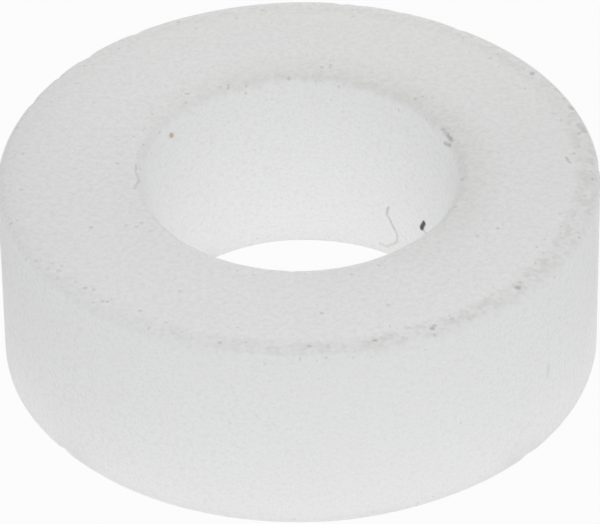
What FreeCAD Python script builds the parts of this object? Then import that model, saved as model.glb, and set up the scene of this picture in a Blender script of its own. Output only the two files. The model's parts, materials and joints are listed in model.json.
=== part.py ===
import FreeCAD, Part
import math
import os

# Plain flat washer: one solid ring of natural plastic with a straight round bore and softened edges.
# Millimetres, +Z up. The origin is the centre of the underside, so the washer stands on the plane Z = 0 and its
# bore runs along +Z.

# Driving dimensions
OUTER_DIAMETER = 10.0
BORE_DIAMETER = 5.2
THICKNESS = 3.5
OUTER_EDGE_RADIUS = 0.15
BORE_EDGE_RADIUS = 0.20

OUTER_RADIUS = OUTER_DIAMETER / 2
BORE_RADIUS = BORE_DIAMETER / 2

AXIS_POINT = FreeCAD.Vector(0, 0, 0)
AXIS_DIRECTION = FreeCAD.Vector(0, 0, 1)


def corner(wall_radius, face_height, edge_radius, radial_side, axial_side):
    """One rounded corner of the section: where its arc leaves the wall, the arc's middle, where it meets the face.

    radial_side is +1 at the outer wall and -1 at the bore; axial_side is +1 at the top and -1 at the underside.
    """
    centre_radius = wall_radius - radial_side * edge_radius
    centre_height = face_height - axial_side * edge_radius
    half_way = edge_radius * math.sqrt(0.5)
    on_wall = FreeCAD.Vector(wall_radius, 0, centre_height)
    middle = FreeCAD.Vector(centre_radius + radial_side * half_way, 0, centre_height + axial_side * half_way)
    on_face = FreeCAD.Vector(centre_radius, 0, face_height)
    return on_wall, middle, on_face


def ring_section():
    """The section on one side of the axis: a rectangle with four rounded corners."""
    outer_low, outer_low_middle, foot_outer = corner(OUTER_RADIUS, 0, OUTER_EDGE_RADIUS, 1, -1)
    outer_high, outer_high_middle, top_outer = corner(OUTER_RADIUS, THICKNESS, OUTER_EDGE_RADIUS, 1, 1)
    bore_high, bore_high_middle, top_inner = corner(BORE_RADIUS, THICKNESS, BORE_EDGE_RADIUS, -1, 1)
    bore_low, bore_low_middle, foot_inner = corner(BORE_RADIUS, 0, BORE_EDGE_RADIUS, -1, -1)
    edges = [
        Part.LineSegment(foot_inner, foot_outer),
        Part.Arc(foot_outer, outer_low_middle, outer_low),
        Part.LineSegment(outer_low, outer_high),
        Part.Arc(outer_high, outer_high_middle, top_outer),
        Part.LineSegment(top_outer, top_inner),
        Part.Arc(top_inner, bore_high_middle, bore_high),
        Part.LineSegment(bore_high, bore_low),
        Part.Arc(bore_low, bore_low_middle, foot_inner),
    ]
    return Part.Face(Part.Wire([edge.toShape() for edge in edges]))


def washer_body():
    """The ring: its section turned once round the axis."""
    return ring_section().revolve(AXIS_POINT, AXIS_DIRECTION, 360)


NODES = {"washer_body": washer_body}

os.makedirs("parts", exist_ok=True)
for node, make in NODES.items():
    shape = make()
    shape.exportStep(f"parts/{node}.step")
    print(f"{node}: {shape.Volume:.2f} mm3, valid {shape.isValid()}, solids {len(shape.Solids)}")
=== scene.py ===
import json
import math

import bpy
import numpy as np
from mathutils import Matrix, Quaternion, Vector


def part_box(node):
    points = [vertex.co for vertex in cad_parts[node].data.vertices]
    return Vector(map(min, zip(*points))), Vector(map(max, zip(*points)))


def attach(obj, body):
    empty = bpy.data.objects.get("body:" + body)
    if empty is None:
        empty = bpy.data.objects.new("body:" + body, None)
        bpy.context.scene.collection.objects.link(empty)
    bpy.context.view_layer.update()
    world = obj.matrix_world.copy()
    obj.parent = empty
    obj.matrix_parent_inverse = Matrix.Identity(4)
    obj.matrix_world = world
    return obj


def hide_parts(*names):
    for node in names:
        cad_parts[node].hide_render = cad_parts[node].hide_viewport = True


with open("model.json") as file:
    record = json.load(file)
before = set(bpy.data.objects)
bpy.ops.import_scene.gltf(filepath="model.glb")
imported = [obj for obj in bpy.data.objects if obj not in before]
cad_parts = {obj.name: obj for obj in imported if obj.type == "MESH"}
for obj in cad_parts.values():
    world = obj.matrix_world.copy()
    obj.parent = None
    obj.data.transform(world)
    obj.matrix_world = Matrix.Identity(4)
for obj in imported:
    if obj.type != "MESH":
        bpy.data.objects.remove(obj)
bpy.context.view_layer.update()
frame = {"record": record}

# Sizes of the washer, in metres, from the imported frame
MM = 0.001
NODE = "washer_body"
SLOT = "natural_plastic"
LOW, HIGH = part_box(NODE)
BORE = next(mount for mount in frame["record"]["mounts"] if mount["name"] == "bore")
THICKNESS = HIGH.z - LOW.z
OUTER_RADIUS = min(HIGH.x, HIGH.y, -LOW.x, -LOW.y)
BORE_RADIUS = BORE["dims"]["r_mm"] * MM
BORE_EDGE = (THICKNESS - BORE["dims"]["length_mm"] * MM) / 2
OUTER_EDGE = 0.75 * BORE_EDGE
TOP = THICKNESS / MM
BORE_WALL = BORE_RADIUS / MM
OUTER_WALL = OUTER_RADIUS / MM
CENTRE = (LOW + HIGH) / 2

# The ring's mesh
SEED = 7
STEPS_ROUND = 960
OUTER_WALL_STEPS = 20
BORE_WALL_STEPS = 18
FACE_STEPS = 14
EDGE_STEPS = 8
WALL_SLACK = 0.004 * MM

# Waves in the size of each rounded edge on its way round the axis: share of its radius, number, where highest
TOP_EDGE_WAVES = [(0.12, 1, 2.0), (0.08, 3, 0.4), (0.06, 7, 0.1)]
LOW_EDGE_WAVES = [(0.10, 2, 1.3), (0.08, 5, 0.2), (0.05, 9, 0.3)]
TOP_BORE_EDGE_WAVES = [(0.22, 1, -0.3), (0.06, 4, -1.8), (0.03, 6, 0.7)]
LOW_BORE_EDGE_WAVES = [(0.10, 2, 0.9), (0.08, 3, 1.1), (0.05, 8, 0.2)]

# Small dents in the rims. Their middles lie in from the walls and faces by this part of an edge radius.
NICKS = 40
NICK_INSET = 0.3
NICK_WIDTH = (0.05 * MM, 0.14 * MM)
NICK_DEPTH = (0.004 * MM, 0.020 * MM)

# The plastic
ALBEDO = (0.992, 0.993, 0.996, 1)
SCATTER_DISTANCE = 0.006
PLASTIC_IOR = 1.5
ROUGHNESS = (0.44, 0.60)
BUMP_STRENGTH = 0.5
BUMP_HEIGHT = 0.004 * MM

# How many features the patterns have in a mm, and how far in mm noise pushes the edges of dirt about
GRAIN_PER_MM = 10.0
SMUDGES_PER_MM = 5.0
PATCHES_PER_MM = 1.3
SPECKS_PER_MM = 7.0
WOBBLES_PER_MM = 16.0
BUMPS_PER_MM = 9.0
DIRT_WOBBLE = 0.06
MARK_WOBBLE = 0.025

# The span of each pattern's noise that goes from none to full
GRAIN_SPAN = (0.37, 0.70)
SMUDGE_SPAN = (0.40, 0.65)
PATCH_SPAN = (0.36, 0.64)

# Where the dirt and the painted shade are, in mm. The painted shade on the faces fades in between two depths
# below each face, the halo of painted shade between two distances from the bore wall, and the grime, partly
# painted shade on the outer rims, between two distances from a circle on each face. A spread says how far to
# the back right a tint starts and is full; the grime's is to the right. Dust thickens near both rims.
FACE_SHADE_FADE = (0.18, 0.02)
HALO_SHADE_FADE = (1.00, 0.05)
HALO_SHADE_SPREAD = (-2.4, 1.7)
GRIME_AND_SHADE_FADE = (0.30, 0.04)
GRIME_AND_SHADE_SPREAD = (-5.5, 2.5)
FACE_SHADE_SPREAD = (0.5, 4.0)
DUSTY_RIM = (0.5, 0.1)
OUTER_RIM = OUTER_WALL - 0.22
BORE_RIM = BORE_WALL + 0.14
BACK_RIGHT = (0.60, 0.80, 0)
RIGHT = (1, 0, 0)
SPECK_SIZE = (0.14, 0.40)
SPECK_DRAW = (0.45, 1.0)
SPECK_STRENGTH = 0.35

# What the plastic's colour is multiplied by where it is dirty, and where shade is painted: on the faces, in
# the halo round the bore and, in part, in the grime on the outer rims
CLOUD = (0.985, 0.984, 0.982, 1)
GRAIN = (0.87, 0.87, 0.865, 1)
# Painted shade on both faces, with a faint warm tint
FACE_SHADE = (0.90, 0.897, 0.888, 1)
# Partly painted shade, partly a brownish stain: the halo round the bore
HALO_SHADE = (0.865, 0.858, 0.845, 1)
# Partly dirt, partly painted shade over the outer rims' lit edges
GRIME_AND_SHADE = (0.78, 0.778, 0.768, 1)
DUST = (0.30, 0.29, 0.27, 1)
RUST = (0.36, 0.24, 0.15, 1)
AMBER = (0.95, 0.86, 0.74, 1)
SOOT = (0.05, 0.05, 0.05, 1)

# Single marks: colour, strength, width in mm, and the points of the line that the mark follows. A point is
# degrees round the axis, distance from the axis and height, both in mm.
MARKS = [
    # A black fleck with a short tail, and a curled fibre beside it, in the bore
    (SOOT, 0.98, 0.115, [(35.5, BORE_WALL, 1.25), (37, BORE_WALL, 1.10)]),
    (DUST, 0.40, 0.08, [(36, BORE_WALL, 1.10), (34, BORE_WALL, 1.05)]),
    (DUST, 0.50, 0.07, [(54, BORE_WALL, 1.15), (55, BORE_WALL, 1.00), (50, BORE_WALL, 0.65),
                        (50, BORE_WALL, 0.50), (52, BORE_WALL, 0.40), (55, BORE_WALL, 0.30),
                        (58, BORE_WALL, 0.30)]),
    # A rusty dot in a paler stain, high on the bore wall
    (AMBER, 0.60, 0.20, [(145.5, BORE_WALL, 3.20), (144.5, BORE_WALL, 3.15)]),
    (RUST, 0.65, 0.10, [(145.5, BORE_WALL, 3.20), (144.5, BORE_WALL, 3.15)]),
    # Two dashes on the right of the bore's rim, the first darkest in its middle, and a hair over its left
    (SOOT, 0.22, 0.09, [(25, 2.70, 3.45), (18, 2.70, 3.45)]),
    (SOOT, 0.25, 0.06, [(22, 2.70, 3.45), (19, 2.70, 3.45)]),
    (SOOT, 0.40, 0.08, [(21, 2.60, 3.35), (17, 2.65, 3.40)]),
    (DUST, 0.35, 0.06, [(175, 2.70, 3.50), (179, 2.70, 3.50), (183, 2.65, 3.45), (189, 2.75, TOP)]),
    # The darkest specks on the outer rim, and a faint streak down the side
    (DUST, 0.80, 0.12, [(34, 4.80, TOP)]),
    (RUST, 0.60, 0.15, [(20, 4.90, TOP)]),
    (DUST, 0.45, 0.16, [(12, 4.90, TOP), (14, 4.85, TOP)]),
    (DUST, 0.70, 0.10, [(115, 4.80, TOP)]),
    (DUST, 0.60, 0.11, [(-64, 4.80, TOP)]),
    (RUST, 0.50, 0.13, [(-43, 4.80, TOP)]),
    (DUST, 0.45, 0.06, [(3.5, 4.45, TOP), (1.5, 4.50, TOP)]),
    (DUST, 0.18, 0.12, [(-36, OUTER_WALL, 1.60), (-36, OUTER_WALL, 1.40)]),
]

# Loose specks, scattered over the dirtiest stretches: how many, and the least and most degrees round the
# axis, distance from the axis and height
LOOSE_SEED = 5
LOOSE_SPECKS = [
    (9, (-157, -128), (4.60, 4.90), (TOP, TOP)),
    (5, (-110, -60), (4.70, 4.80), (TOP, TOP)),
    (3, (12, 28), (4.70, 4.90), (TOP, TOP)),
    (8, (48, 104), (2.60, 2.70), (2.90, 3.45)),
    (8, (-160, 20), (3.00, 4.30), (TOP, TOP)),
]
LOOSE_STRENGTH = (0.20, 0.42)
LOOSE_WIDTH = (0.07, 0.11)

# Camera: a long lens above and in front
CAMERA_ELEVATION = math.radians(37.2)
CAMERA_DISTANCE = 20.1 * OUTER_RADIUS
CAMERA_ROLL = math.radians(0.8)
CAMERA_LENS_MM = 360
CAMERA_SENSOR_MM = 36
AIM_BELOW_CENTRE = 0.024 * OUTER_RADIUS

# Studio. A softbox is its name, degrees round from +X, degrees up, distance and width in metres, radiance and
# colour. FLOOR_LIGHT_FADE is how far out, in metres, the floor's light goes from near to far.
STAGE_RADIUS = 0.35
STAGE_BRIGHTNESS = 0.97
FLOOR_DROP = 0.01 * MM
FLOOR_LIGHT_ALBEDO = 0.2
FLOOR_LIGHT_NEAR = 0.68
FLOOR_LIGHT_FAR = 0.55
FLOOR_LIGHT_FADE = (0.005, 0.012)
AMBIENT = 0.41
SOFTBOXES = [
    ("front", -88, 45, 0.6, 0.4, 2.50, (0.955, 0.98, 1.0)),
    ("right", 0, 45, 0.6, 0.4, 0.66, (1.0, 1.0, 1.0)),
    ("back", 90, 25, 0.6, 0.4, 1.30, (1.0, 0.98, 0.95)),
]


def ring_grid():
    """Radius and height of the ring's points, with a row for each step round the axis.

    The columns follow the ring's section: outer wall, top, bore wall and underside, with the edges between.
    """
    turn = np.linspace(0, 2 * math.pi, STEPS_ROUND, endpoint=False)[:, None]
    radius, height = [], []

    def straight(start, end, steps):
        share = np.arange(steps) / steps
        radius.append(start[0] + (end[0] - start[0]) * share)
        height.append(start[1] + (end[1] - start[1]) * share)

    def rounded(centre, edge, first_angle):
        angle = first_angle + math.pi / 2 * np.arange(EDGE_STEPS) / EDGE_STEPS
        radius.append(centre[0] + edge * np.cos(angle))
        height.append(centre[1] + edge * np.sin(angle))

    def waves(terms):
        return 1 + sum(share * np.cos(count * (turn - highest)) for share, count, highest in terms)

    outer, bore, top = OUTER_RADIUS - WALL_SLACK, BORE_RADIUS, THICKNESS
    top_edge = OUTER_EDGE * waves(TOP_EDGE_WAVES)
    low_edge = OUTER_EDGE * waves(LOW_EDGE_WAVES)
    top_bore_edge = BORE_EDGE * waves(TOP_BORE_EDGE_WAVES)
    low_bore_edge = BORE_EDGE * waves(LOW_BORE_EDGE_WAVES)
    straight((outer, low_edge), (outer, top - top_edge), OUTER_WALL_STEPS)
    rounded((outer - top_edge, top - top_edge), top_edge, 0)
    straight((outer - top_edge, top), (bore + top_bore_edge, top), FACE_STEPS)
    rounded((bore + top_bore_edge, top - top_bore_edge), top_bore_edge, math.pi / 2)
    straight((bore, top - top_bore_edge), (bore, low_bore_edge), BORE_WALL_STEPS)
    rounded((bore + low_bore_edge, low_bore_edge), low_bore_edge, math.pi)
    straight((bore + low_bore_edge, 0), (outer - low_edge, 0), FACE_STEPS)
    rounded((outer - low_edge, low_edge), low_edge, 3 * math.pi / 2)
    radius = np.hstack([column + 0 * turn for column in radius])
    height = np.hstack([column + 0 * turn for column in height])
    return turn, radius, height


def nick_rims(turn, radius, height):
    """Presses the small dents into the outer and bore rims, top and bottom, at random places."""
    draw = np.random.default_rng(SEED)
    middle = (OUTER_RADIUS + BORE_RADIUS) / 2
    outer_inset = NICK_INSET * OUTER_EDGE
    bore_inset = NICK_INSET * BORE_EDGE
    for nick in range(NICKS):
        on_outer = nick % 3 > 0
        on_top = nick % 4 > 0
        rim_radius = OUTER_RADIUS - outer_inset if on_outer else BORE_RADIUS + bore_inset
        rim_height = THICKNESS - outer_inset if on_top else outer_inset
        angle = draw.uniform(0, 2 * math.pi)
        width = draw.uniform(*NICK_WIDTH)
        depth = draw.uniform(*NICK_DEPTH)
        along = (np.mod(turn - angle + math.pi, 2 * math.pi) - math.pi) * rim_radius
        away = np.sqrt(along ** 2 + (radius - rim_radius) ** 2 + (height - rim_height) ** 2)
        press = depth * np.exp(-(away / width) ** 2)
        radius = radius - press * np.sign(rim_radius - middle)
        height = height - press * np.sign(rim_height - THICKNESS / 2)
    return radius, height


def closed_grid_faces(rows, columns):
    """Quads of a grid that closes on itself both ways."""
    row, column = np.meshgrid(np.arange(rows), np.arange(columns), indexing="ij")
    next_row = (row + 1) % rows
    next_column = (column + 1) % columns
    corners = [row * columns + column, next_row * columns + column,
               next_row * columns + next_column, row * columns + next_column]
    return np.stack(corners, axis=-1).reshape(-1, 4)


def new_object(name, points, faces):
    mesh = bpy.data.meshes.new(name)
    mesh.from_pydata(points, [], faces)
    mesh.polygons.foreach_set("use_smooth", [True] * len(mesh.polygons))
    mesh.update()
    made = bpy.data.objects.new(name, mesh)
    bpy.context.scene.collection.objects.link(made)
    return made


def washer():
    """The ring as one closed mesh."""
    turn, radius, height = ring_grid()
    radius, height = nick_rims(turn, radius, height)
    points = np.stack([radius * np.cos(turn), radius * np.sin(turn), height], axis=-1).reshape(-1, 3)
    faces = closed_grid_faces(*radius.shape)
    return new_object("washer_ring", points.tolist(), faces.tolist())


class Shading:
    """Short ways to add nodes to one material. Each method returns the new node's output."""

    def __init__(self, name):
        self.material = bpy.data.materials.new(name)
        self.material.use_nodes = True
        self.tree = self.material.node_tree
        self.shader = self.tree.nodes["Principled BSDF"]

    def put(self, socket, value):
        if isinstance(value, bpy.types.NodeSocket):
            self.tree.links.new(value, socket)
        else:
            socket.default_value = value

    def add(self, kind, values, output=0, **settings):
        node = self.tree.nodes.new(kind)
        for setting, value in settings.items():
            setattr(node, setting, value)
        for socket, value in values.items():
            self.put(node.inputs[socket], value)
        return node.outputs[output]

    def maths(self, operation, *values, clamp=False):
        return self.add("ShaderNodeMath", dict(enumerate(values)), operation=operation, use_clamp=clamp)

    def vector(self, operation, *values):
        output = "Value" if operation in ("LENGTH", "DISTANCE", "DOT_PRODUCT") else "Vector"
        return self.add("ShaderNodeVectorMath", dict(enumerate(values)), output, operation=operation)

    def scaled(self, vector, by):
        return self.add("ShaderNodeVectorMath", {"Vector": vector, "Scale": by}, operation="SCALE")

    def ramp(self, value, start, end, low=0.0, high=1.0):
        """A smooth step: low where value is at start or before it, high where it is at end or past it."""
        values = {"Value": value, "From Min": start, "From Max": end, "To Min": low, "To Max": high}
        return self.add("ShaderNodeMapRange", values, interpolation_type="SMOOTHSTEP")

    def noise(self, place, per_mm, detail=2.0, roughness=0.5, output="Fac"):
        values = {"Vector": place, "Scale": per_mm, "Detail": detail, "Roughness": roughness}
        return self.add("ShaderNodeTexNoise", values, output)

    def tint(self, colour, by, amount):
        """colour multiplied by another, as far as amount says."""
        values = {0: amount, 6: colour, 7: by}
        return self.add("ShaderNodeMix", values, 2, data_type="RGBA", blend_type="MULTIPLY")

    def distance_to(self, place, points):
        """Distance from place to one point, or to the line through several."""
        if len(points) == 1:
            return self.vector("DISTANCE", place, points[0])
        nearest = None
        for start, end in zip(points, points[1:]):
            run = end - start
            from_start = self.vector("SUBTRACT", place, start)
            along = self.vector("DOT_PRODUCT", from_start, run / run.length_squared)
            share = self.maths("MULTIPLY", along, 1.0, clamp=True)
            away = self.vector("LENGTH", self.vector("SUBTRACT", from_start, self.scaled(run, share)))
            nearest = away if nearest is None else self.maths("MINIMUM", nearest, away)
        return nearest


def ring_point(degrees, radius, height):
    turn = math.radians(degrees)
    return Vector((radius * math.cos(turn), radius * math.sin(turn), height))


def section_place(s, place):
    """Distance from the axis and from half height, which makes both faces alike."""
    radius = s.vector("LENGTH", s.vector("MULTIPLY", place, (1, 1, 0)))
    height = s.add("ShaderNodeSeparateXYZ", {"Vector": place}, "Z")
    return radius, s.maths("ABSOLUTE", s.maths("SUBTRACT", height, TOP / 2))


def distance_from_rim(s, radius, rise, rim):
    """Distance, seen in the ring's section, from a circle of radius rim on the nearer face."""
    section = s.add("ShaderNodeCombineXYZ", {"X": radius, "Y": rise})
    return s.vector("DISTANCE", section, (rim, TOP / 2, 0))


def with_halo_shade(s, colour, radius, on_face, towards_back_right, smudge):
    """Partly painted shade and partly a brownish stain: a soft darker band on the faces, round the bore,
    strongest at the back right.
    """
    amount = s.maths("MULTIPLY", s.ramp(radius, BORE_WALL + HALO_SHADE_FADE[0], BORE_WALL + HALO_SHADE_FADE[1]), on_face)
    amount = s.maths("MULTIPLY", amount, s.ramp(towards_back_right, *HALO_SHADE_SPREAD, 0.1, 1.0))
    return s.tint(colour, HALO_SHADE, s.maths("MULTIPLY", amount, s.ramp(smudge, 0, 1, 0.85, 1.1)))


def with_grime_and_shade(s, colour, place, off_outer_rim, smudge):
    """A dirty line along the outer rims, strongest on the right, which is also painted shade that dims the
    rims' lit edges.
    """
    towards_right = s.vector("DOT_PRODUCT", place, RIGHT)
    amount = s.ramp(towards_right, *GRIME_AND_SHADE_SPREAD, 0.1, 1.0)
    amount = s.maths("MULTIPLY", amount, s.ramp(smudge, 0, 1, 0.5, 1.0))
    return s.tint(colour, GRIME_AND_SHADE, s.maths("MULTIPLY", s.ramp(off_outer_rim, *GRIME_AND_SHADE_FADE), amount))


def with_dust(s, colour, ragged, off_outer_rim, off_bore_rim):
    """A speck in some cells of a fine net, larger and more often near the rims."""
    net = s.add("ShaderNodeTexVoronoi", {"Vector": ragged, "Scale": SPECKS_PER_MM}, "Distance")
    draw = s.add("ShaderNodeSeparateColor", {"Color": net.node.outputs["Color"]}, "Red")
    rims = s.maths("MAXIMUM", s.ramp(off_outer_rim, *DUSTY_RIM), s.ramp(off_bore_rim, *DUSTY_RIM))
    size = s.maths("MULTIPLY", s.ramp(draw, *SPECK_DRAW), s.ramp(rims, 0, 1, *SPECK_SIZE))
    return s.tint(colour, DUST, s.ramp(net, size, s.maths("MULTIPLY", size, 0.3), 0.0, SPECK_STRENGTH))


def loose_specks():
    """Marks of one point each, at random places."""
    draw = np.random.default_rng(LOOSE_SEED)
    specks = []
    for count, degrees, radius, height in LOOSE_SPECKS:
        for speck in range(count):
            point = (draw.uniform(*degrees), draw.uniform(*radius), draw.uniform(*height))
            specks.append((DUST, draw.uniform(*LOOSE_STRENGTH), draw.uniform(*LOOSE_WIDTH), [point]))
    return specks


def with_marks(s, colour, place):
    """The single marks and the loose specks, each fading out from the line that it follows."""
    for mark_colour, strength, width, points in MARKS + loose_specks():
        away = s.distance_to(place, [ring_point(*point) for point in points])
        colour = s.tint(colour, mark_colour, s.ramp(away, 0.6 * width, 0.2 * width, 0, strength))
    return colour


def plastic():
    """Milky plastic: faintly clouded and grainy, with painted shade on its faces and round the bore, dirty
    and partly shaded in paint along its rims, with dust and single marks.
    """
    s = Shading(SLOT)
    place = s.scaled(s.add("ShaderNodeTexCoord", {}, "Object"), 1 / MM)
    wobble = s.vector("SUBTRACT", s.noise(place, WOBBLES_PER_MM, 1.0, output="Color"), (0.5, 0.5, 0.5))
    ragged = s.vector("ADD", place, s.scaled(wobble, DIRT_WOBBLE))
    slightly_ragged = s.vector("ADD", place, s.scaled(wobble, MARK_WOBBLE))

    radius, rise = section_place(s, place)
    on_face = s.ramp(rise, TOP / 2 - FACE_SHADE_FADE[0], TOP / 2 - FACE_SHADE_FADE[1])
    off_outer_rim = distance_from_rim(s, radius, rise, OUTER_RIM)
    off_bore_rim = distance_from_rim(s, radius, rise, BORE_RIM)
    towards_back_right = s.vector("DOT_PRODUCT", place, BACK_RIGHT)

    grain = s.ramp(s.noise(place, GRAIN_PER_MM, 3.0, 0.95), *GRAIN_SPAN)
    smudge = s.ramp(s.noise(ragged, SMUDGES_PER_MM, 1.0), *SMUDGE_SPAN)
    patches = s.ramp(s.noise(ragged, PATCHES_PER_MM, 2.0, 0.6), *PATCH_SPAN)

    colour = s.tint(ALBEDO, CLOUD, patches)
    colour = s.tint(colour, GRAIN, grain)
    # Painted shade: both faces darker than the walls, most towards the back right
    face_shade = s.ramp(towards_back_right, *FACE_SHADE_SPREAD, 0.6, 1.0)
    colour = s.tint(colour, FACE_SHADE, s.maths("MULTIPLY", on_face, face_shade))
    colour = with_halo_shade(s, colour, radius, on_face, towards_back_right, smudge)
    colour = with_grime_and_shade(s, colour, place, off_outer_rim, smudge)
    colour = with_dust(s, colour, ragged, off_outer_rim, off_bore_rim)
    colour = with_marks(s, colour, slightly_ragged)
    bumps = {"Strength": BUMP_STRENGTH, "Distance": BUMP_HEIGHT, "Height": s.noise(place, BUMPS_PER_MM, 1.0)}
    bump = s.add("ShaderNodeBump", bumps, "Normal")

    s.put(s.shader.inputs["Base Color"], colour)
    s.put(s.shader.inputs["Roughness"], s.ramp(grain, 0, 1, *ROUGHNESS))
    s.put(s.shader.inputs["Normal"], bump)
    s.shader.inputs["Subsurface Weight"].default_value = 1.0
    s.shader.inputs["Subsurface Radius"].default_value = (1.0, 1.0, 1.0)
    s.shader.inputs["Subsurface Scale"].default_value = SCATTER_DISTANCE
    s.shader.inputs["IOR"].default_value = PLASTIC_IOR
    return s.material


def seen_by_camera_only(piece):
    piece.visible_diffuse = False
    piece.visible_glossy = False
    piece.visible_transmission = False
    piece.visible_volume_scatter = False
    piece.visible_shadow = False


def glowing(name, brightness, albedo):
    """A plain matt material that gives off an even white light."""
    s = Shading(name)
    s.put(s.shader.inputs["Emission Strength"], brightness)
    s.shader.inputs["Emission Color"].default_value = (1, 1, 1, 1)
    s.shader.inputs["Base Color"].default_value = (albedo, albedo, albedo, 1)
    s.shader.inputs["Roughness"].default_value = 0.8
    s.shader.inputs["Specular IOR Level"].default_value = 0.0
    return s


def square(name, height):
    size = STAGE_RADIUS
    corners = [(-size, -size, height), (size, -size, height), (size, size, height), (-size, size, height)]
    return new_object(name, corners, [(0, 1, 2, 3)])


def floor():
    """A plain pale floor."""
    plane = square("floor", LOW.z - FLOOR_DROP)
    plane.data.materials.append(glowing("floor", STAGE_BRIGHTNESS, 0).material)
    seen_by_camera_only(plane)


def floor_light():
    """The light that comes up from the floor, brightest near the washer."""
    plane = square("floor_light", LOW.z)
    s = glowing("floor_light", FLOOR_LIGHT_FAR, FLOOR_LIGHT_ALBEDO)
    off_centre = s.vector("LENGTH", s.add("ShaderNodeTexCoord", {}, "Object"))
    s.put(s.shader.inputs["Emission Strength"],
          s.ramp(off_centre, *FLOOR_LIGHT_FADE, FLOOR_LIGHT_NEAR, FLOOR_LIGHT_FAR))
    plane.data.materials.append(s.material)
    plane.visible_camera = False


def backdrop():
    """A pale dome all round."""
    rows, columns = 24, 48
    points, faces = [], []
    for row in range(rows + 1):
        up = math.pi * (row / rows - 0.5)
        for column in range(columns):
            turn = 2 * math.pi * column / columns
            out = Vector((math.cos(up) * math.cos(turn), math.cos(up) * math.sin(turn), math.sin(up)))
            points.append(STAGE_RADIUS * out)
    for row in range(rows):
        for column in range(columns):
            beside = (column + 1) % columns
            faces.append((row * columns + column, row * columns + beside,
                          (row + 1) * columns + beside, (row + 1) * columns + column))
    dome = new_object("backdrop", points, faces)
    dome.data.materials.append(glowing("backdrop", STAGE_BRIGHTNESS, 0).material)
    seen_by_camera_only(dome)


def ambient():
    """A faint even light from all round."""
    world = bpy.data.worlds.new("ambient")
    world.use_nodes = True
    world.node_tree.nodes["Background"].inputs["Color"].default_value = (1, 1, 1, 1)
    world.node_tree.nodes["Background"].inputs["Strength"].default_value = AMBIENT
    bpy.context.scene.world = world


def softbox(name, azimuth, elevation, distance, width, radiance, colour):
    around, up = math.radians(azimuth), math.radians(elevation)
    towards = Vector((math.cos(around) * math.cos(up), math.sin(around) * math.cos(up), math.sin(up)))
    data = bpy.data.lights.new(name, "AREA")
    data.shape = "DISK"
    data.size = width
    data.color = colour
    data.energy = radiance * math.pi * math.pi * (width / 2) ** 2
    made = bpy.data.objects.new(name, data)
    bpy.context.scene.collection.objects.link(made)
    made.location = CENTRE + distance * towards
    made.rotation_mode = "QUATERNION"
    made.rotation_quaternion = (-towards).to_track_quat("-Z", "Y")
    made.visible_camera = False


def camera():
    back = Vector((0, -math.cos(CAMERA_ELEVATION), math.sin(CAMERA_ELEVATION)))
    up = Vector((0, math.sin(CAMERA_ELEVATION), math.cos(CAMERA_ELEVATION)))
    data = bpy.data.cameras.new("camera")
    data.lens = CAMERA_LENS_MM
    data.sensor_width = CAMERA_SENSOR_MM
    data.clip_start = 0.1 * CAMERA_DISTANCE
    data.clip_end = 100 * CAMERA_DISTANCE
    made = bpy.data.objects.new("camera", data)
    bpy.context.scene.collection.objects.link(made)
    made.location = CENTRE - AIM_BELOW_CENTRE * up + CAMERA_DISTANCE * back
    made.rotation_mode = "QUATERNION"
    made.rotation_quaternion = (-back).to_track_quat("-Z", "Y") @ Quaternion((0, 0, 1), -CAMERA_ROLL)
    bpy.context.scene.camera = made


camera()
floor()
floor_light()
backdrop()
ambient()
for box in SOFTBOXES:
    softbox(*box)
ring = washer()
ring.data.materials.append(plastic())
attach(ring, "root")
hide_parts(NODE)
bpy.context.scene.view_settings.view_transform = "Standard"
